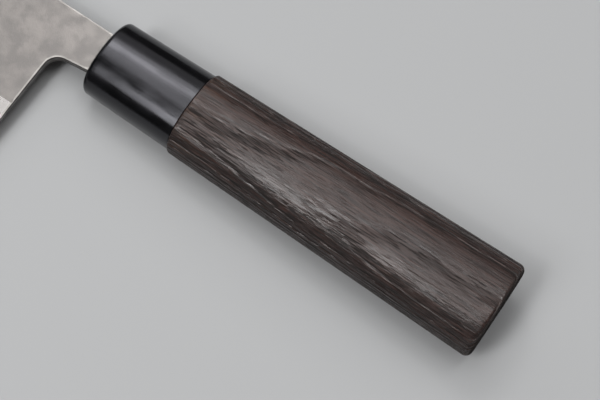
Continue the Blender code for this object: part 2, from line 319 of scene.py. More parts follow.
def grid_quads(rows, columns, rows_loop=False, columns_loop=False):
    """The corners of every cell of a grid of points that are numbered row by row."""
    number = np.arange(rows * columns).reshape(rows, columns)
    beside = np.roll(number, -1, axis=1)
    cells = np.stack([number, beside, np.roll(beside, -1, axis=0), np.roll(number, -1, axis=0)], axis=-1)
    return cells[:rows if rows_loop else -1, :columns if columns_loop else -1].reshape(-1, 4)


def smooth_step(value):
    """3v^2 - 2v^3 between 0 and 1, and flat beyond."""
    v = np.clip(value, 0, 1)
    return v * v * (3 - 2 * v)


def quarter_round(steps):
    """Steps of a quarter circle from the side to the end, as shares of its radius back and inwards."""
    angle = np.linspace(0, math.pi / 2, steps + 1)
    return 1 - np.sin(angle), 1 - np.cos(angle)


# Handle


def oval_rings(x, half_width, half_thickness, squareness, sides, middle=0.0):
    """Rings across the handle. At polar angle a the rim is (|cos a / w|^n + |sin a / t|^n)^(-1/n) away."""
    angle = np.arange(sides) * 2 * math.pi / sides
    values = (x, half_width, half_thickness, squareness, middle)
    rows = np.broadcast_arrays(*[np.atleast_1d(value) for value in values])
    x, w, t, n, middle = [row[:, None] for row in rows]
    reach = (np.abs(np.cos(angle) / w) ** n + np.abs(np.sin(angle) / t) ** n) ** (-1 / n)
    return np.stack([x + 0 * reach, middle + reach * np.cos(angle), reach * np.sin(angle)], axis=-1)


def wood_size(x):
    """Half the width and thickness of the wood at x, and its squareness: each runs straight to the butt."""
    share = x / HANDLE_LENGTH
    ends = (
        (MOUTH_WIDTH / 2 + WOOD_STEP, BUTT_WIDTH / 2),
        (MOUTH_THICKNESS / 2 + WOOD_STEP, BUTT_THICKNESS / 2),
        (MOUTH_SQUARENESS, BUTT_SQUARENESS),
    )
    return [mouth + (butt - mouth) * share for mouth, butt in ends]


def handle_rings(x, inset, sides):
    """The handle's sections at each x, made smaller all round by an inset."""
    half_width, half_thickness, squareness = wood_size(np.asarray(x))
    inset = inset + HAIR
    return oval_rings(x, half_width - inset, half_thickness - inset, squareness, sides)


def tenon_rings(x, margin, sides):
    """The tenon's elliptic sections, with a margin."""
    half_width, half_thickness = TENON_WIDTH / 2 + margin, TENON_THICKNESS / 2 + margin
    return oval_rings(x, half_width, half_thickness, TENON_SQUARENESS, sides)


def tang_low_y(x):
    """The lower side of the neck, and of the tang once it is inside the handle."""
    mouth = SPINE_ABOVE_AXIS - NECK_HEIGHT
    neck = mouth + x * math.tan(NECK_FLARE)
    tang = mouth + (-TANG_END_HEIGHT / 2 - mouth) * x / TANG_LENGTH
    return np.where(x < 0, neck, tang)


def tang_half(x):
    """Half the tang's thickness, which falls steadily from the spine's to the tang's end."""
    return SPINE_THICKNESS / 2 + (TANG_END_THICKNESS - SPINE_THICKNESS) / 2 * x / TANG_LENGTH


def slot_rings(x, margin, sides):
    """Nearly square-cornered rings round the tang, with a margin."""
    x = np.asarray(x)
    high = SPINE_ABOVE_AXIS + (TANG_END_HEIGHT / 2 - SPINE_ABOVE_AXIS) * x / TANG_LENGTH + margin
    low = tang_low_y(x) - margin
    return oval_rings(x, (high - low) / 2, tang_half(x) + margin, SLOT_SQUARENESS, sides, (high + low) / 2)


def between(first, last, count):
    """Rings that run straight from one ring to another, without the two."""
    share = np.linspace(0, 1, count + 2)[1:-1, None, None]
    return first + (last - first) * share


def butt_rings(sides):
    """Rings of the rounded butt, whose radius grows from the broad faces to the narrow sides.

    With s the square of the share of the way to the side, the radius is face + (side - face) s.
    """
    back, inward = quarter_round(ARC_STEPS)
    half_width, half_thickness, squareness = wood_size(HANDLE_LENGTH)
    rings = oval_rings(
        HANDLE_LENGTH - HAIR, half_width - HAIR - BUTT_SIDE_ROUNDING * inward,
        half_thickness - HAIR - BUTT_FACE_ROUNDING * inward, squareness, sides)
    aside = (rings[:, :, 1] / half_width) ** 2
    radius = BUTT_FACE_ROUNDING + (BUTT_SIDE_ROUNDING - BUTT_FACE_ROUNDING) * aside
    rings[:, :, 0] -= radius * back[:, None]
    return rings


def growth(points, ring_width):
    """How many rings out a point lies.

    Its height along the grain's own upward direction, plus a square and a cube of the distance aside,
    plus a slope along x that turns with the distance aside, a step that follows tanh and a dip that
    follows a bell curve, counted from the first ring and divided by the ring's width. Sines that are
    long along the grain and short across it make the rings wander.
    """
    x, y, z = np.moveaxis(points, -1, 0)
    y = y - GRAIN_ASIDE
    up = z * math.cos(GRAIN_ROLL) - y * math.sin(GRAIN_ROLL)
    aside = z * math.sin(GRAIN_ROLL) + y * math.cos(GRAIN_ROLL)
    level = up + GRAIN_CURVE * aside ** 2 + GRAIN_LEAN * aside ** 3
    level += (GRAIN_SLOPE + GRAIN_TWIST * aside) * x
    level += GRAIN_STEP * np.tanh((x - GRAIN_STEP_X) / GRAIN_STEP_REACH)
    level += GRAIN_DIP * np.exp(-((x - GRAIN_DIP_X) / GRAIN_DIP_REACH) ** 2)
    waves = sum(share * np.sin(x / along + y / across + start) for along, across, share, start in GRAIN_WAVES)
    return (level - FIRST_RING) / ring_width + GRAIN_WAVE_RINGS * waves


def ring_relief(rings):
    """Depth of the brushed surface over one year, in shares of the relief.

    The soft early wood starts 1 deep, rises by the first rise over the first half of the year and by the
    rest over the late wood, and the last eighth drops back to 1 deep.
    """
    part = rings - np.floor(rings)
    rise = FIRST_RISE * smooth_step(part / EARLY_PART)
    rise += (1 - FIRST_RISE) * smooth_step((part - EARLY_PART) / LATE_PART)
    return rise - 1 - smooth_step(1 + (part - 1) / DROP_PART)


def surface_normals(grid):
    """Outward directions on a grid of rings, from the cross product of its two slopes."""
    along = np.gradient(grid, axis=0)
    round_it = np.roll(grid, -1, axis=1) - np.roll(grid, 1, axis=1)
    return unit(np.cross(round_it, along))


def brushed(skin, settings):
    """The grip's skin with the growth rings brushed out of it.

    The relief starts behind the ferrule, fades where the rings crowd closer than the mesh can follow,
    and is deeper at the butt, whose edge wears back in the soft early wood.
    """
    rings = growth(skin, settings.ring_width)
    around = np.linalg.norm(np.roll(skin, -1, axis=1) - skin, axis=-1)
    crowding = np.abs(np.roll(rings, -1, axis=1) - rings) / around
    room = smooth_step((1 / np.maximum(crowding, 1.0) - THINNEST_RING) / THIN_RING_REACH)
    x = skin[:, :, 0]
    start = smooth_step((x - FERRULE_LENGTH) / BRUSHING_START)
    worn = smooth_step((x - HANDLE_LENGTH + END_WEAR_FROM) / END_WEAR_REACH)
    depth = settings.relief + (settings.end_wear - settings.relief) * worn
    height = depth * ring_relief(rings) * room * start
    return skin + surface_normals(skin) * height[:, :, None]


def lofted(rings, first_pole=None, last_pole=None):
    """Points and faces through a stack of rings that ends in a pole at each end, or else loops round."""
    stack, sides = rings.shape[:2]
    looped = first_pole is None
    faces = grid_quads(stack, sides, looped, True).tolist()
    points = rings.reshape(-1, 3)
    if not looped:
        points = np.vstack([points, first_pole, last_pole])
        here = np.arange(sides)
        following = (here + 1) % sides
        first = np.full(sides, stack * sides)
        last_ring = (stack - 1) * sides
        faces += np.stack([first, following, here], axis=1).tolist()
        faces += np.stack([first + 1, last_ring + here, last_ring + following], axis=1).tolist()
    return points, faces


def grip_rings(settings):
    """The grip's rings, smooth and brushed: bore, tenon, shoulder, body, rounded end and flat butt."""
    sides = RING_SIDES
    tenon_front = FERRULE_LENGTH - TENON_LENGTH
    shoulder = FERRULE_LENGTH + FIT_GAP
    bore_end = TANG_LENGTH + BEDDING_END + FIT_GAP
    bore = slot_rings(np.linspace(bore_end, tenon_front, BORE_RINGS), BORE_MARGIN, sides)
    tenon = np.concatenate([
        tenon_rings([tenon_front], -TENON_CHAMFER, sides),
        tenon_rings([tenon_front + TENON_CHAMFER, shoulder], 0, sides),
    ])
    front = handle_rings([shoulder], JOINT_CHAMFER, sides)
    start = shoulder + JOINT_CHAMFER
    end = HANDLE_LENGTH - BUTT_ROOM * BUTT_SIDE_ROUNDING
    body = handle_rings(np.linspace(start, end, round((end - start) / GRIP_STEP)), 0, sides)
    rounded = butt_rings(sides)
    cap = between(rounded[-1], rounded[-1] * [1, 0, 0], CAP_RINGS)
    skin = np.concatenate([body, rounded, cap])
    smooth = np.concatenate([bore, tenon, between(tenon[-1], front[0], SHOULDER_RINGS), front, skin])
    worn = smooth.copy()
    worn[-len(skin):] = brushed(skin, settings)
    return smooth, worn, bore_end


def ferrule_rings():
    """The collar's rings, in a loop: mouth, rounded front, outside, back, socket and slot."""
    sides = COLLAR_SIDES
    back, inward = (FERRULE_ROUNDING * share[::-1] for share in quarter_round(ARC_STEPS))
    front = handle_rings(back, WOOD_STEP + inward, sides)
    length = np.linspace(FERRULE_ROUNDING, FERRULE_LENGTH - JOINT_CHAMFER, COLLAR_RINGS)[1:]
    outside = handle_rings(length, WOOD_STEP, sides)
    rear = handle_rings([FERRULE_LENGTH], WOOD_STEP + JOINT_CHAMFER, sides)
    socket = tenon_rings([FERRULE_LENGTH, SOCKET_BOTTOM], FIT_GAP, sides)
    slot = slot_rings(np.array([SOCKET_BOTTOM, 0.0]), BORE_MARGIN, sides)
    mouth = between(slot[-1], front[0], MOUTH_RINGS)
    return np.concatenate([mouth, front, outside, rear, socket, slot])


# Blade


def corner_arc(before, corner, after, radius, steps):
    """The arc that rounds a corner.

    Its centre lies radius / sin(half the corner's angle) along the bisector, and its points turn the
    first touching point about that centre by equal steps.
    """
    side_a = unit(before - corner)
    side_b = unit(after - corner)
    half = math.acos(np.clip(side_a @ side_b, -1, 1)) / 2
    centre = corner + unit(side_a + side_b) * radius / math.sin(half)
    start = corner + side_a * radius / math.tan(half) - centre
    hand = np.sign(start[0] * side_b[1] - start[1] * side_b[0])
    angle = np.linspace(0, hand * (math.pi - 2 * half), steps + 1)[:, None]
    turned = np.array([-start[1], start[0]])
    return centre + start * np.cos(angle) + turned * np.sin(angle)


def course(line, *stages):
    """A line that goes on straight to each further point in its own number of steps."""
    for target, steps in stages:
        share = np.linspace(0, 1, steps + 1)[1:, None]
        line = np.concatenate([line, line[-1] + (target - line[-1]) * share])
    return line


def crossing(point_a, point_b, point_c, point_d):
    """Where the line through a and b meets the line through c and d."""
    along = point_b - point_a
    other = point_d - point_c
    share = np.cross(point_c - point_a, other) / np.cross(along, other)
    return point_a + along * share


def flank_half(x, y):
    """Half the thickness of the flat flank: it falls steadily to the tip and down from the spine."""
    along = (SPINE_THICKNESS - TIP_THICKNESS) / 2 / -TOE_X
    down = (SPINE_THICKNESS - SHINOGI_THICKNESS) / 2 / (BLADE_HEIGHT - BEVEL_HEIGHT)
    return SPINE_THICKNESS / 2 + along * x + down * (y - SPINE_ABOVE_AXIS)


BEVEL_SLOPE = (flank_half(HEEL_X, EDGE_Y + BEVEL_HEIGHT) - BEVEL_FOOT_THICKNESS / 2) / BEVEL_HEIGHT


def bevel_half(y):
    """Half the thickness of the bevel: it rises steadily from the cutting edge."""
    return BEVEL_FOOT_THICKNESS / 2 + BEVEL_SLOPE * (y - EDGE_Y)


def edge_y(x):
    """The cutting edge: straight, then rising with the square of the way to the toe."""
    share = np.clip((x - TOE_X) / BELLY_LENGTH, 0, 1)
    return EDGE_Y + BELLY_RISE * (1 - share) ** 2


def crease_y(x):
    """Where flank and bevel meet, which is a straight line that sinks towards the tip."""
    at_mouth = flank_half(0, 0) - bevel_half(0)
    along = flank_half(1, 0) - flank_half(0, 0)
    down = (flank_half(0, 1) - flank_half(0, 0)) - BEVEL_SLOPE
    return -(at_mouth + along * x) / down


def weld_half(x, phase, settings):
    """Half the thickness of the hard core: the forge weld wanders by three sines along the blade."""
    waves = sum(share * np.sin(x / wave + times * phase) for wave, share, times in WELD_WAVES)
    waves = waves / sum(share for _, share, _ in WELD_WAVES) * smooth_step(-x / WELD_WAVE_REACH)
    return CORE_THICKNESS / 2 + settings.weld_wander * waves


def blade_curves():
    """Curves along the blank, from the tang's end to the front: top, under side, crease and edge.

    The top is the tang's upper side, the spine and the rounded front corner. The under side is the tang's,
    the neck, the choil and the heel down to the crease. Both together match the top point by point, and
    the edge matches the crease.
    """
    tang_top, tang_foot = np.array([[TANG_LENGTH, TANG_END_HEIGHT / 2], [TANG_LENGTH, -TANG_END_HEIGHT / 2]])
    mouth_top, mouth_foot = np.array([[0, SPINE_ABOVE_AXIS], [0, SPINE_ABOVE_AXIS - NECK_HEIGHT]])
    heel_top = np.array([HEEL_X, float(tang_low_y(HEEL_X))])
    heel_foot = np.array([HEEL_X + (heel_top[1] - EDGE_Y) * math.tan(HEEL_RAKE), EDGE_Y])
    front_top = np.array([TOE_X + (BLADE_HEIGHT - BELLY_RISE) * math.tan(FRONT_SLANT), SPINE_ABOVE_AXIS])
    toe = np.array([TOE_X, EDGE_Y + BELLY_RISE])
    crease = [np.array([x, crease_y(x)]) for x in (0.0, TOE_X)]
    crease_heel = crossing(*crease, heel_top, heel_foot)
    crease_front = crossing(*crease, front_top, toe)

    tip = corner_arc(mouth_top, front_top, toe, TIP_CORNER_RADIUS, TIP_STEPS)
    choil = corner_arc(mouth_foot, heel_top, heel_foot, CHOIL_RADIUS, CHOIL_STEPS)
    above_x = (choil[0][0], choil[0][0] - CHOIL_AHEAD, HEEL_X - HEEL_AHEAD)
    above = [np.array([x, SPINE_ABOVE_AXIS]) for x in above_x]
    end_top = corner_arc(tang_foot, tang_top, mouth_top, TANG_END_RADIUS, TANG_ARC_STEPS)
    end_foot = corner_arc(tang_top, tang_foot, mouth_foot, TANG_END_RADIUS, TANG_ARC_STEPS)
    top = course(
        end_top, (mouth_top, TANG_STEPS), (above[0], NECK_STEPS), (above[1], CHOIL_STEPS),
        (above[2], HEEL_STEPS), (tip[0], BODY_STEPS))
    top = np.concatenate([top, tip[1:]])
    under = course(end_foot, (mouth_foot, TANG_STEPS), (choil[0], NECK_STEPS))
    under = course(np.concatenate([under, choil[1:]]), (crease_heel, HEEL_STEPS))
    near_front = crease_front + (crease_heel - crease_front) * FRONT_SHARE
    ridge = course(crease_heel[None], (near_front, BODY_STEPS), (crease_front, TIP_STEPS))
    ahead = np.array([TOE_X / 2, EDGE_Y])
    heel_arc = corner_arc(heel_top, heel_foot, ahead, HEEL_CORNER_RADIUS, CORNER_STEPS)
    behind_x = TOE_X + TOE_LOOK
    behind = np.array([behind_x, float(edge_y(behind_x))])
    toe_arc = corner_arc(behind, toe, front_top, TOE_RADIUS, CORNER_STEPS)
    run = np.linspace(heel_arc[-1][0], toe_arc[0][0], BODY_STEPS + TIP_STEPS - 2 * CORNER_STEPS + 1)[1:-1]
    edge = np.concatenate([heel_arc, np.stack([run, edge_y(run)], axis=1), toe_arc])
    return top, under, ridge, edge


def strips(first, last, first_margin, last_margin, count):
    """Rows between two matched curves that start and end with a narrow strip, whose width is in metres."""
    length = np.maximum(np.linalg.norm(last - first, axis=1), MERGE_DISTANCE)
    start = np.clip(first_margin / length, 0, MOST_SUPPORT)
    end = 1 - np.clip(last_margin / length, 0, MOST_SUPPORT)
    inner = start + (end - start) * np.linspace(0, 1, count)[:, None]
    share = np.vstack([np.zeros_like(length), inner, np.ones_like(length)])
    return first + (last - first) * share[:, :, None]


def at_level(first, last, level):
    """The line on which the lines between two matched curves reach a level of y, held between the two."""
    share = np.clip((first[:, 1] - level) / (first[:, 1] - last[:, 1]), 0, 1)
    return first + (last - first) * share[:, None]


def sewn(name, sheets, finishes):
    """One closed piece from (grid, finish number) sheets, whose shared borders are merged."""
    points = np.empty((0, 3))
    faces = []
    numbers = []
    for grid, number in sheets:
        quads = grid_quads(*grid.shape[:2]) + len(points)
        points = np.vstack([points, grid.reshape(-1, 3)])
        faces += quads.tolist()
        numbers += [number] * len(quads)
    piece = new_piece(name, points, faces, finishes, numbers)
    bm = bmesh.new()
    bm.from_mesh(piece.data)
    bmesh.ops.remove_doubles(bm, verts=bm.verts[:], dist=MERGE_DISTANCE)
    bmesh.ops.dissolve_degenerate(bm, edges=bm.edges[:], dist=MERGE_DISTANCE)
    bmesh.ops.recalc_face_normals(bm, faces=bm.faces[:])
    bm.to_mesh(piece.data)
    bm.free()
    shade_smooth(piece.data)
    return piece


# Which finish of a cladding layer is where, in the order of its table
FLANK, BEVEL, EASED, SIDE, INSIDE = range(5)
# Which end of an eased border meets which end of another
SHARED_CORNERS = (
    ("top", 0, "tang_end", 0),
    ("under", 0, "tang_end", -1),
    ("top", -1, "front", 0),
    ("front", -1, "low_front", 0),
    ("under", -1, "low_heel", 0),
)


def weld_border(ridge, edge, phase, settings):
    """The line down the bevel where a layer ends: there the bevel is as thick as the core.

    The core's thickness changes along the line, so it is found in a few passes that start from the crease.
    """
    border = ridge
    for _ in range(WELD_PASSES):
        welded = weld_half(border[:, 0], phase, settings) + settings.weld_gap
        border = at_level(ridge, edge, EDGE_Y + (welded - BEVEL_FOOT_THICKNESS / 2) / BEVEL_SLOPE)
    return border


def core_sheets(settings):
    """The sheets of the hard core: its two welded faces, bare bevels, cutting edge and rim.

    Half its thickness is the least of the weld's, the bevel's and the narrow cutting bevel's, which
    opens by the edge angle from the edge.
    """
    top, under, ridge, edge = blade_curves()
    middle = np.concatenate([under, ridge[1:]])
    upper = strips(top, middle, SUPPORT, SUPPORT, CORE_FLANK_ROWS)
    opening = math.tan(EDGE_ANGLE)
    keen = opening * edge_y(edge[:, 0]) - BEVEL_SLOPE * EDGE_Y + (BEVEL_FOOT_THICKNESS - EDGE_THICKNESS) / 2
    keen = at_level(ridge, edge, keen / (opening - BEVEL_SLOPE))
    sheets = []
    outlines = []
    for side, phase in WELD_PHASES.values():
        border = weld_border(ridge, edge, phase, settings)
        curves = (ridge, border, keen, edge)
        grids = [upper]
        for first, last, rows in zip(curves, curves[1:], CORE_BEVEL_ROWS):
            grids.append(strips(first, last, SUPPORT, SUPPORT, rows))
        outline = []
        for grid in grids:
            x, y = grid[..., 0], grid[..., 1]
            outer = np.minimum(bevel_half(y), EDGE_THICKNESS / 2 + opening * (y - edge_y(x)))
            half = np.minimum(outer, weld_half(x, phase, settings))
            shell = np.dstack([grid, side * half])
            sheets.append((shell, 0))
            ends = [shell[:, 0], shell[:, -1]]
            outline.append(ends if grid is not upper else [shell[0], shell[-1, :len(under)], *ends])
        outline[-1].append(shell[-1])
        outlines.append([line for lines in outline for line in lines])
    for left, right in zip(*outlines):
        sheets.append((np.stack([left, right]), 1))
    return sheets


def cladding_sheets(side, phase, settings):
    """The sheets of one soft outer layer: flank, bevel, eased rim, sides and the welded face inside."""
    top, under, ridge, edge = blade_curves()
    middle = np.concatenate([under, ridge[1:]])
    is_ridge = np.arange(len(middle)) >= len(under) - 1
    low_margin = np.where(is_ridge, SUPPORT, EASING_SUPPORT)
    upper = strips(top, middle, EASING_SUPPORT, low_margin, FLANK_ROWS)
    border = weld_border(ridge, edge, phase, settings)
    lower = strips(ridge, border, SUPPORT, SUPPORT, BEVEL_ROWS)

    def outer_half(grid):
        """Half the blade's thickness: the least of flank, tang and bevel."""
        x, y = grid[..., 0], grid[..., 1]
        return np.minimum(np.minimum(flank_half(x, y), tang_half(x)), bevel_half(y))

    def inner_half(grid):
        """How far out the layer's welded face lies."""
        return weld_half(grid[..., 0], phase, settings) + settings.weld_gap

    def easing(line, width, slope):
        """How wide and deep the easing is along a border: wider at the ferrule, less on a thin layer."""
        near = smooth_step((line[:, 0] + WEDGE_REACH) / WEDGE_REACH)
        wide = width + (settings.neck_easing - width) * near
        deep = wide * math.tan(slope)
        room = np.maximum(outer_half(line) - inner_half(line), 0)
        share = np.minimum(1, MOST_EASING * room / deep)
        return wide * share, deep * share

    def inward(line, hand):
        """Directions square to a border line, into the blade."""
        along = np.gradient(line, axis=0)
        return unit(np.stack([-along[:, 1], along[:, 0]], axis=1) * hand)

    spine = (settings.spine_easing, settings.spine_slope)
    heel = (settings.heel_easing, settings.heel_slope)
    borders = {
        "top": (upper, (0, slice(None)), 1, spine),
        "under": (upper, (-1, slice(0, len(under))), -1, heel),
        "tang_end": (upper, (slice(None), 0), -1, heel),
        "front": (upper, (slice(None), -1), 1, spine),
        "low_heel": (lower, (slice(None), 0), -1, heel),
        "low_front": (lower, (slice(None), -1), 1, spine),
    }
    eased = {}
    for name, (grid, where, hand, (width, slope)) in borders.items():
        wide, deep = easing(grid[where], width, slope)
        eased[name] = (inward(grid[where], hand) * wide[:, None], deep)
    for first, first_end, second, second_end in SHARED_CORNERS:
        for one, other in zip(eased[first], eased[second]):
            one[first_end] = other[second_end] = (one[first_end] + other[second_end]) / 2
    outer_grids = {id(upper): upper.copy(), id(lower): lower.copy()}
    rims = []
    turn = np.linspace(0, 1, EASING_STEPS + 1)[:, None]
    drop = np.where(turn < EASING_BEND, turn ** 2 / (2 * EASING_BEND), turn - EASING_BEND / 2)
    drop /= drop[-1]
    for name, (grid, where, _, _) in borders.items():
        shift, deep = eased[name]
        line = grid[where]
        outer_grids[id(grid)][where] = line + shift
        lines = line[None] + shift[None] * (1 - turn)[:, :, None]
        heights = outer_half(line + shift)[None] - deep[None] * drop
        rims.append((np.dstack([lines, heights]), EASED))
        foot = np.stack([heights[-1], inner_half(line)])
        rims.append((np.dstack([np.stack([line, line]), foot]), SIDE))
    sheets = []
    for grid, number in ((upper, FLANK), (lower, BEVEL)):
        outer = outer_grids[id(grid)]
        sheets.append((np.dstack([outer, outer_half(outer)]), number))
        sheets.append((np.dstack([grid, inner_half(grid)]), INSIDE))
    sheets += rims
    return [(grid * np.array([1, 1, side]), number) for grid, number in sheets]


# Finishes


# Patterns of steel, collar and resin: size along, down and through the knife, the noise that becomes 0 and
# 1, and detail. Real grit marks, scratches and buffing marks are 0.02 to 0.1 mm wide, too fine to show, so
# they are drawn 0.15 to 0.3 mm wide.
CLOUDS = ((0.0045, 0.0040, 0.0045), 0.33, 0.67, 3.0)
BROAD_CLOUDS = ((0.009, 0.008, 0.009), 0.33, 0.67, 3.0)
GRIT = ((0.0003, 0.0003, 0.0003), 0.3, 0.7, 1.0)
SCRATCHES = ((0.018, 0.0002, 0.0002), 0.3, 0.7, 1.0)
FINE_SCRATCHES = ((0.018, 0.00015, 0.00015), 0.3, 0.7, 1.0)
CROSS_SCRATCHES = ((0.0002, 0.0002, 0.004), 0.3, 0.7, 1.0)
HAZE = ((0.010, 0.004, 0.004), 0.35, 0.65)
BUFFING = ((0.020, 0.0003, 0.0003), 0.3, 0.7)
DUST = ((0.0004, 0.0004, 0.0004), 0.4, 0.7)

# What they are made of: plain values of the shader, and the share of the marks beside the patches in the tint
# and in the gloss
STEEL = ({"Metallic": 1.0}, 0.3 / 1.3, 0.0)
# The bluish Specular Tint is painted light: it gives the collar's reflections the cool colour of the lamps,
# which are neutral
HORN_WITH_PAINTED_COOL_TINT = ({"IOR": 1.54, "Specular Tint": linear("#F6F6FF")}, 0.0, 0.4)
RESIN = ({"IOR": 1.52}, 0.0, 0.0)

# Two-tone finishes of each piece: what it is, settings of the tint at 1 and at 0, roughness at 1 and at 0,
# patches, marks, and depth of the marks
CLADDING = {
    # Soft steel blasted with fine grit: matt and cloudy, with a broad soft gleam
    "blasted_clad_steel": (STEEL, "flank_bright", "flank_dull", 0.36, 0.44, CLOUDS, GRIT, 0.000008),
    # The same steel polished lengthwise: brighter, with long fine scratches
    "polished_bevel_steel": (STEEL, "bevel_bright", "bevel_dull", 0.24, 0.32, CLOUDS, SCRATCHES, 0.000004),
    # The same steel where the sharp edges were rubbed over: between the two
    "eased_edge_steel": (STEEL, "eased_bright", "eased_dull", 0.30, 0.38, CLOUDS, GRIT, 0.000004),
    # The same steel ground square across: dull, with short scratches from side to side
    "ground_side_steel": (STEEL, "side_bright", "side_dull", 0.42, 0.52, CLOUDS, CROSS_SCRATCHES, 0.000008),
    # The welded face inside, as it was forged: the dullest
    "forged_tang_steel": (STEEL, "side_bright", "side_dull", 0.5, 0.6, CLOUDS, GRIT, 0.00001),
}
CORE = {
    # Hard carbon steel honed with the cutting edge: the brightest
    "hard_core_steel": (
        STEEL, "core_bright", "bevel_bright", 0.18, 0.26, BROAD_CLOUDS, FINE_SCRATCHES, 0.000003),
    # The same steel ground square across, where it shows on spine and heel: dull
    "ground_core_side_steel": (
        STEEL, "core_side", "side_bright", 0.4, 0.5, BROAD_CLOUDS, CROSS_SCRATCHES, 0.000006),
}
# Black horn or resin, buffed: a deep gloss with hazy patches and faint marks along the collar,
# and a painted cool tint, standing for the lamps' cool light, in its reflections
COLLAR = {"buffed_black_collar": (HORN_WITH_PAINTED_COOL_TINT, "collar_haze", "collar", 0.24, 0.12, HAZE, BUFFING, 0.000003)}
# Dark cast resin: dull, with tiny bubbles and dust in it and a plain surface
BEDDING = {"cast_bedding_resin": (RESIN, "resin_dust", "resin", 0.6, 0.35, DUST, DUST, 0.0)}

# Wood patterns: size along, across and through the handle, the noise that becomes 0 and 1, detail, and a
# shift that keeps two alike patterns apart. Real fibres and fine pores are under 0.1 mm wide, too fine to
# show, so they are drawn about 0.25 mm wide.
WOOD_PATTERNS = {
    "feather": ((0.0050, 0.00040, 0.00040), 0.2, 0.8, 1.0),
    "fine": ((0.006, 0.00026, 0.00026), 0.58, 0.70, 1.0, (0.03, 0.01, 0.02)),
    "fibres": ((0.010, 0.00024, 0.00024), 0.36, 0.64, 1.0),
    "broad": ((0.030, 0.006, 0.006), 0.35, 0.65),
    "tinted": ((0.012, 0.0012, 0.0012), 0.48, 0.66, 2.0, (0.05, 0.02, 0.01)),
}
# How ragged the years' borders are and over which part of a year early wood gives way to late wood
RAGGED = 0.14
EARLY_FADE = (0.05, 0.36)
# How much early wood crowds the pores in front of a stretch of x and behind it
CROWDING = (0.42, 0.24)
CROWDING_X = (0.054, 0.068)
# How much the handle's sides crowd them and at which heights, which rise with the handle's swell along x
SIDE_CROWDING = 0.48
SIDE_HEIGHT = (0.0068, 0.0081)
SIDE_RISE = 0.014
# The pores' own noise, the crowding at which one starts to open and is open, and how dark fine ones are
PORE_NOISE = (0.35, 0.65, 1.0)
PORE_OPENS = (1.10, 1.19)
FINE_PORES = 0.5
# How rough pores and early wood are beside the roughest, and how high the fibres stand beside a pore's depth
PORE_ROUGHNESS = 0.6
EARLY_ROUGHNESS = 0.45
FIBRE_HEIGHT = 0.35
# Where the lightly burnt streaks behind the ferrule end, and where the end grain starts and is full
WARM_END = 0.040
# The end grain's darker tint is partly its own burnt colour and partly painted shade of the butt's end face
END_GRAIN_AND_SHADE = (HANDLE_LENGTH - 0.0009, HANDLE_LENGTH - 0.0002)


def feed(node, inputs):
    """Give a node's inputs, in order or by name, a plain value or the output of another node each."""
    for name, value in inputs.items() if isinstance(inputs, dict) else enumerate(inputs):
        if isinstance(value, bpy.types.NodeSocket):
            node.id_data.links.new(value, node.inputs[name])
        else:
            node.inputs[name].default_value = value


def add_node(tree, kind, inputs=(), output=0, **settings):
    """Add a node with its settings and what feeds it, and return one of its outputs."""
    node = tree.nodes.new("ShaderNode" + kind)
    for name, value in settings.items():
        setattr(node, name, value)
    feed(node, inputs)
    return node.outputs[output]


def new_finish(name, values):
    """An empty material, what adds nodes to it, and its Principled shader, set to plain values."""
    finish = bpy.data.materials.new(name)
    finish.use_nodes = True
    shader = finish.node_tree.nodes["Principled BSDF"]
    feed(shader, values)
    return finish, partial(add_node, finish.node_tree), shader


def knife_axes(node, cell=(1.0, 1.0, 1.0), offset=(0.0, 0.0, 0.0)):
    """Where a point lies along the knife's axes from an offset, in cells of a size in metres."""
    place = {"Location": PLACE.translation + Vector(offset), "Rotation": PLACE.to_euler(), "Scale": cell}
    place["Vector"] = node("TexCoord", output="Object")
    return node("Mapping", place, vector_type="TEXTURE")


def pattern(node, cell, low, high, detail=2.0, offset=(0.0, 0.0, 0.0)):
    """Soft noise with cells of a size in metres along the knife's axes, from 0 at low to 1 at high."""
    place = knife_axes(node, cell, offset)
    noise = node("TexNoise", {"Vector": place, "Scale": 1.0, "Detail": detail, "Roughness": 0.55})
    return node("MapRange", [noise, low, high], interpolation_type="SMOOTHSTEP")


def two_tone(table, settings):
    """The finishes of a piece's table, in its order.

    Tint and roughness run from their values at 0 to those at 1 with a blend of patches and marks, each by
    its own share of the marks, and the marks give the bump.
    """
    finishes = []
    for name, (made_of, high_tint, low_tint, high_rough, low_rough, patches, marks, depth) in table.items():
        values, *shares = made_of
        finish, node, shader = new_finish(name, values)
        patches, marks = pattern(node, *patches), pattern(node, *marks)
        tone, gloss = [node("Mix", {0: share, 2: patches, 3: marks}) for share in shares]
        tints = {0: tone, 6: getattr(settings, low_tint), 7: getattr(settings, high_tint)}
        feed(shader, {
            "Base Color": node("Mix", tints, 2, data_type="RGBA"),
            "Roughness": node("MapRange", {"Value": gloss, "To Min": low_rough, "To Max": high_rough}),
        })
        if depth:
            feed(shader, {"Normal": node("Bump", {"Distance": depth, "Height": marks})})
        finishes.append(finish)
    return finishes


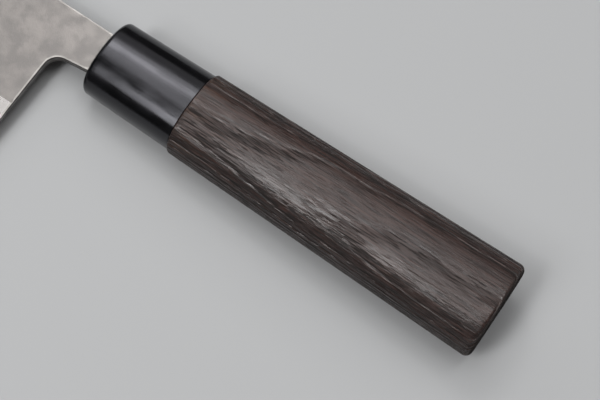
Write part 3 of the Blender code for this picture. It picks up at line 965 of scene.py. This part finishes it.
def burnt_wood_finish(settings):
    """Burnt and brushed ring-porous wood, oiled: soft early wood with long open pores, smooth late wood.

    The years of growth get a ragged border, and the part of a year that is left over says how early the
    wood is. Pores open where their noise, the early wood and the handle's sides add up to enough. Grey
    patches, burnt early wood, warm streaks, pores and end grain are laid over the fibres in that order;
    the end grain's tint is partly its own burnt colour and partly painted shade of the butt's end face.
    """
    finish, node, shader = new_finish("burnt_ring_porous_wood", {"IOR": 1.47})
    soft = {"interpolation_type": "SMOOTHSTEP"}
    noise = {name: pattern(node, *row) for name, row in WOOD_PATTERNS.items()}
    pore_size = (settings.pore_length, settings.pore_width, settings.pore_width)
    pore_noise = pattern(node, pore_size, *PORE_NOISE)
    place = node("SeparateXYZ", [knife_axes(node)]).node.outputs

    part = node("Attribute", output="Fac", attribute_name="growth")
    part = node("Math", [noise["feather"], RAGGED, part], operation="MULTIPLY_ADD")
    part = node("Math", [part, RAGGED / 2], operation="SUBTRACT")
    part = node("Math", [part], operation="FRACT")
    early = node("MapRange", [part, *EARLY_FADE, 1.0, 0.0], **soft)

    level = node("Math", [place["Z"]], operation="ABSOLUTE")
    level = node("Math", [place["X"], -SIDE_RISE, level], operation="MULTIPLY_ADD")
    sides = node("MapRange", [level, *SIDE_HEIGHT, 1.0, 0.0], **soft)
    crowding = node("MapRange", [place["X"], *CROWDING_X, *CROWDING], **soft)
    crowd = node("Math", [sides, SIDE_CROWDING, pore_noise], operation="MULTIPLY_ADD")
    crowd = node("Math", [early, crowding, crowd], operation="MULTIPLY_ADD")
    pores = node("MapRange", [crowd, *PORE_OPENS], **soft)
    fine = node("Math", [noise["fine"], FINE_PORES], operation="MULTIPLY")
    dark = node("Math", [pores, fine], operation="MAXIMUM")

    front = node("MapRange", [place["X"], FERRULE_LENGTH, WARM_END, 1.0, 0.0], **soft)
    warm = node("Math", [noise["tinted"], front], operation="MULTIPLY")
    # The butt's end grain: rougher, with a darker tint that is partly its own burnt colour and partly painted
    # shade
    end = node("MapRange", [place["X"], *END_GRAIN_AND_SHADE], **soft)
    tints = {0: noise["fibres"], 6: settings.late_dark, 7: settings.late_light}
    colour = node("Mix", tints, 2, data_type="RGBA")
    layers = (
        (noise["broad"], 0.4, settings.late_grey),
        (early, 0.2, settings.early),
        (warm, 0.55, settings.warm),
        (dark, 0.85, settings.pore),
        (end, 0.85, settings.end_grain_and_shade),
    )
    for cover, strength, over in layers:
        share = node("Math", [cover, strength], operation="MULTIPLY")
        colour = node("Mix", {0: share, 6: colour, 7: over}, 2, data_type="RGBA")

    rough = node("Math", [dark, PORE_ROUGHNESS], operation="MULTIPLY")
    rough = node("Math", [early, EARLY_ROUGHNESS, rough], operation="MULTIPLY_ADD")
    rough = node("Math", [rough, end], operation="MAXIMUM")
    height = node("Math", [dark, -1.0], operation="MULTIPLY")
    height = node("Math", [noise["fibres"], FIBRE_HEIGHT, height], operation="MULTIPLY_ADD")
    feed(shader, {
        "Base Color": colour,
        "Roughness": node("MapRange", {"Value": rough, "To Min": 0.26, "To Max": 0.8}),
        "Normal": node("Bump", {"Distance": settings.pore_depth, "Height": height}),
    })
    return finish


def floor_finish(settings):
    """Matt floor paint: pale to the eye and in reflections, dark to the light that it would throw back."""
    finish, node, shader = new_finish("matt_floor_paint", {"Roughness": 0.9, "Specular IOR Level": 0.2})
    path = node("LightPath").node.outputs
    seen = node("Math", [path["Is Camera Ray"], path["Is Glossy Ray"]], operation="MAXIMUM")
    seen = node("Math", [seen, path["Is Transmission Ray"]], operation="MAXIMUM")
    tints = {0: seen, 6: settings.floor_bounce, 7: settings.floor}
    feed(shader, {"Base Color": node("Mix", tints, 2, data_type="RGBA")})
    return finish


# What a user would change


def length(name, description, default):
    """A size in metres."""
    return bpy.props.FloatProperty(
        name=name, description=description, default=default, min=0.0, precision=6, unit="LENGTH")


def angle(name, description, degrees):
    """An angle up to 60 degrees."""
    return bpy.props.FloatProperty(
        name=name, description=description, default=math.radians(degrees), min=0.0, max=math.radians(60),
        unit="ROTATION", subtype="ANGLE")


def tint(name, description, hex_colour):
    """A colour, written as an sRGB hex value."""
    return bpy.props.FloatVectorProperty(
        name=name, description=description, default=linear(hex_colour), size=4, min=0.0, max=1.0,
        subtype="COLOR")


class BladeSettings(bpy.types.PropertyGroup):
    """Sizes and colours of the laminated blade."""

    spine_easing: length("Spine easing", "Width of the eased edges of spine and front", 0.00035)
    heel_easing: length("Heel easing", "Width of the eased edges of neck, choil and heel", 0.00045)
    neck_easing: length("Neck easing", "Width to which the easing grows at the ferrule", 0.0013)
    spine_slope: angle("Spine slope", "How far the eased edges of spine and front lean", 6.0)
    heel_slope: angle("Heel slope", "How far the eased edges of neck, choil and heel lean", 9.0)
    weld_wander: length("Weld wander", "How far the forge weld wanders in depth", 0.00003)
    weld_gap: length("Weld gap", "Space between the layers, so that each stays its own solid", 0.000004)
    flank_bright: tint("Flank, bright", "Clear patches of the blasted flank", "#827E7B")
    flank_dull: tint("Flank, dull", "Clouded patches of the blasted flank", "#787573")
    bevel_bright: tint("Bevel, bright", "Clear patches of the polished bevel", "#AFACAA")
    bevel_dull: tint("Bevel, dull", "Clouded patches of the polished bevel", "#A19E9C")
    core_bright: tint("Core, bright", "The bare hard steel at the edge", "#E4E3E1")
    core_side: tint("Core, side", "The hard steel where it shows on spine and heel", "#8A8785")
    eased_bright: tint("Eased edge, bright", "Clear patches of the eased edges", "#918E8B")
    eased_dull: tint("Eased edge, dull", "Clouded patches of the eased edges", "#85827F")
    side_bright: tint("Side, bright", "Clear patches of the ground spine and heel", "#5C5956")
    side_dull: tint("Side, dull", "Clouded patches of the ground spine and heel", "#454240")


class HandleSettings(bpy.types.PropertyGroup):
    """Sizes and colours of the collar, the wooden grip and the bedding."""

    ring_width: length("Ring width", "Width of one year's growth", 0.00124)
    relief: length("Relief", "How deep brushing cuts into the early wood", 0.00018)
    end_wear: length("End wear", "How deep the early wood is worn at the butt", 0.00030)
    pore_length: length("Pore length", "Length of an open pore along the grain", 0.0055)
    pore_width: length("Pore width", "Width of an open pore, wider than real so that it shows", 0.00020)
    pore_depth: length("Pore depth", "Depth of an open pore", 0.00006)
    late_light: tint("Late wood, light", "Light fibres of the late wood", "#4B3833")
    late_dark: tint("Late wood, dark", "Dark fibres of the late wood", "#281C19")
    late_grey: tint("Late wood, grey", "Greyer patches of the late wood", "#302827")
    early: tint("Early wood", "Burnt early wood", "#211613")
    warm: tint("Warm tint", "Streaks where the burning was light", "#543A2B")
    pore: tint("Pores", "Inside of the open pores", "#140E0C")
    # The end grain's tint is partly its own burnt colour and partly painted shade of the butt's end face
    end_grain_and_shade: tint("End grain", "Burnt end grain at the butt", "#1A1310")
    collar: tint("Collar", "Black of the collar", "#060607")
    collar_haze: tint("Collar haze", "Slightly hazed patches of the collar", "#0C0C0E")
    resin: tint("Resin", "Dark bedding resin", "#2A2826")
    resin_dust: tint("Resin dust", "Dust in the bedding resin", "#45413D")


class StudioSettings(bpy.types.PropertyGroup):
    """Floor and light."""

    floor_size: length("Floor size", "Side of the floor", 12.0)
    floor: tint("Floor", "Pale matt floor", "#BEBFC0")
    floor_bounce: tint("Floor bounce", "How much light the floor throws back on the knife", "#3A3B3C")
    surround: tint("Surround", "The light that comes from all round", "#444343")
    lamp_level: bpy.props.FloatProperty(
        name="Lamp level", description="Factor on every lamp", default=1.0, min=0.0)


# Pieces


class KNIFE_OT_cladding(bpy.types.Operator):
    """Make the two soft outer layers of the blade"""

    bl_idname = "knife.cladding"
    bl_label = "Cladding"

    def execute(self, context):
        settings = context.scene.knife_blade
        finishes = two_tone(CLADDING, settings)
        for name, (side, phase) in WELD_PHASES.items():
            sheets = cladding_sheets(side, phase, settings)
            piece = sewn(f"{name}_flank_and_bevel", sheets, finishes)
            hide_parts(f"blade_cladding_{name}")
        return {"FINISHED"}


class KNIFE_OT_ferrule(bpy.types.Operator):
    """Make the black collar"""

    bl_idname = "knife.ferrule"
    bl_label = "Ferrule"

    def execute(self, context):
        points, faces = lofted(ferrule_rings())
        piece = new_piece("oval_collar", points, faces, two_tone(COLLAR, context.scene.knife_handle))
        shade_smooth(piece.data)
        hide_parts("ferrule")
        return {"FINISHED"}


class KNIFE_OT_grip(bpy.types.Operator):
    """Make the burnt and brushed wooden grip"""

    bl_idname = "knife.grip"
    bl_label = "Grip"

    def execute(self, context):
        settings = context.scene.knife_handle
        smooth, worn, bore_end = grip_rings(settings)
        front_pole = [[bore_end, 0, 0]]
        points, faces = lofted(worn, front_pole, [[worn[-1, :, 0].mean(), 0, 0]])
        unworn = lofted(smooth, front_pole, [[HANDLE_LENGTH - HAIR, 0, 0]])[0]
        piece = new_piece("brushed_wood_grip", points, faces, [burnt_wood_finish(settings)])
        years = piece.data.attributes.new("growth", "FLOAT", "POINT")
        years.data.foreach_set("value", growth(unworn, settings.ring_width).astype(np.float32))
        shade_smooth(piece.data)
        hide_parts("grip")
        return {"FINISHED"}


class KNIFE_OT_bedding(bpy.types.Operator):
    """Finish the resin round the tang, whose solid shows as it is"""

    bl_idname = "knife.bedding"
    bl_label = "Bedding"

    def execute(self, context):
        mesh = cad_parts["tang_bedding"].data
        mesh.materials.clear()
        mesh.materials.append(two_tone(BEDDING, context.scene.knife_handle)[0])
        return {"FINISHED"}


class KNIFE_OT_core(bpy.types.Operator):
    """Make the hard core of the blade, which shows at the edge, the spine and the heel"""

    bl_idname = "knife.core"
    bl_label = "Core"

    def execute(self, context):
        settings = context.scene.knife_blade
        piece = sewn("hard_core", core_sheets(settings), two_tone(CORE, settings))
        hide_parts("blade_core")
        return {"FINISHED"}


class KNIFE_OT_studio(bpy.types.Operator):
    """Make the floor, the soft lamps and the camera"""

    bl_idname = "knife.studio"
    bl_label = "Studio"

    def execute(self, context):
        settings = context.scene.knife_studio
        half = settings.floor_size / 2
        side = np.linspace(-half, half, FLOOR_LINES)
        x, y = np.meshgrid(side, side)
        points = np.dstack([x, y, np.zeros_like(x)]).reshape(-1, 3)
        faces = grid_quads(FLOOR_LINES, FLOOR_LINES).tolist()
        floor = placed("studio_floor", new_mesh("studio_floor", points, faces, [floor_finish(settings)]))

        target = PLACE @ Vector(LAMP_AIM)
        for name, (roll, lean, distance, width, along, level) in LAMPS.items():
            lamp = bpy.data.lights.new(name, "AREA")
            lamp.shape = "RECTANGLE"
            lamp.size = along
            lamp.size_y = width
            lamp.energy = level * settings.lamp_level * math.pi * width * along
            roll, lean = math.radians(roll), math.radians(lean)
            out = Vector((
                math.sin(lean), math.cos(lean) * math.cos(roll), math.cos(lean) * math.sin(roll)))
            item = placed(name, lamp)
            item.matrix_world = Matrix.Translation(target + out * distance) @ facing(out, (1, 0, 0))
            item.visible_camera = False

        world = bpy.data.worlds.new("studio_surround")
        context.scene.world = world
        world.use_nodes = True
        world.node_tree.nodes["Background"].inputs["Color"].default_value = settings.surround

        camera = bpy.data.cameras.new("photograph_view")
        camera.lens = CAMERA_LENS
        camera.clip_start = CAMERA_CLIP
        viewer = placed("photograph_view", camera)
        turn = facing(CAMERA_BACK, CAMERA_RIGHT)
        viewer.matrix_world = PLACE @ Matrix.Translation(CAMERA_PLACE) @ turn
        context.scene.camera = viewer
        context.scene.view_settings.view_transform = "Standard"
        return {"FINISHED"}


class KNIFE_PT_sidebar(bpy.types.Panel):
    """The knife's pieces and their settings"""

    bl_label = "Knife"
    bl_idname = "KNIFE_PT_sidebar"
    bl_space_type = "VIEW_3D"
    bl_region_type = "UI"
    bl_category = "Knife"

    def draw(self, context):
        for group in (context.scene.knife_blade, context.scene.knife_handle, context.scene.knife_studio):
            box = self.layout.box()
            for name in group.__annotations__:
                box.prop(group, name)
        for operator in OPERATORS:
            self.layout.operator(operator.bl_idname)


OPERATORS = (
    KNIFE_OT_core,
    KNIFE_OT_cladding,
    KNIFE_OT_ferrule,
    KNIFE_OT_grip,
    KNIFE_OT_bedding,
    KNIFE_OT_studio,
)
GROUPS = {"knife_blade": BladeSettings, "knife_handle": HandleSettings, "knife_studio": StudioSettings}


def register():
    for kind in (*GROUPS.values(), *OPERATORS, KNIFE_PT_sidebar):
        bpy.utils.register_class(kind)
    for name, group in GROUPS.items():
        setattr(bpy.types.Scene, name, bpy.props.PointerProperty(type=group))


def unregister():
    for name in GROUPS:
        delattr(bpy.types.Scene, name)
    for kind in (KNIFE_PT_sidebar, *reversed(OPERATORS), *GROUPS.values()):
        bpy.utils.unregister_class(kind)


def main():
    """Register the add-on and make every piece in order."""
    register()
    bpy.ops.knife.core()
    bpy.ops.knife.cladding()
    bpy.ops.knife.ferrule()
    bpy.ops.knife.grip()
    bpy.ops.knife.bedding()
    bpy.ops.knife.studio()


if __name__ == "__main__":
    main()
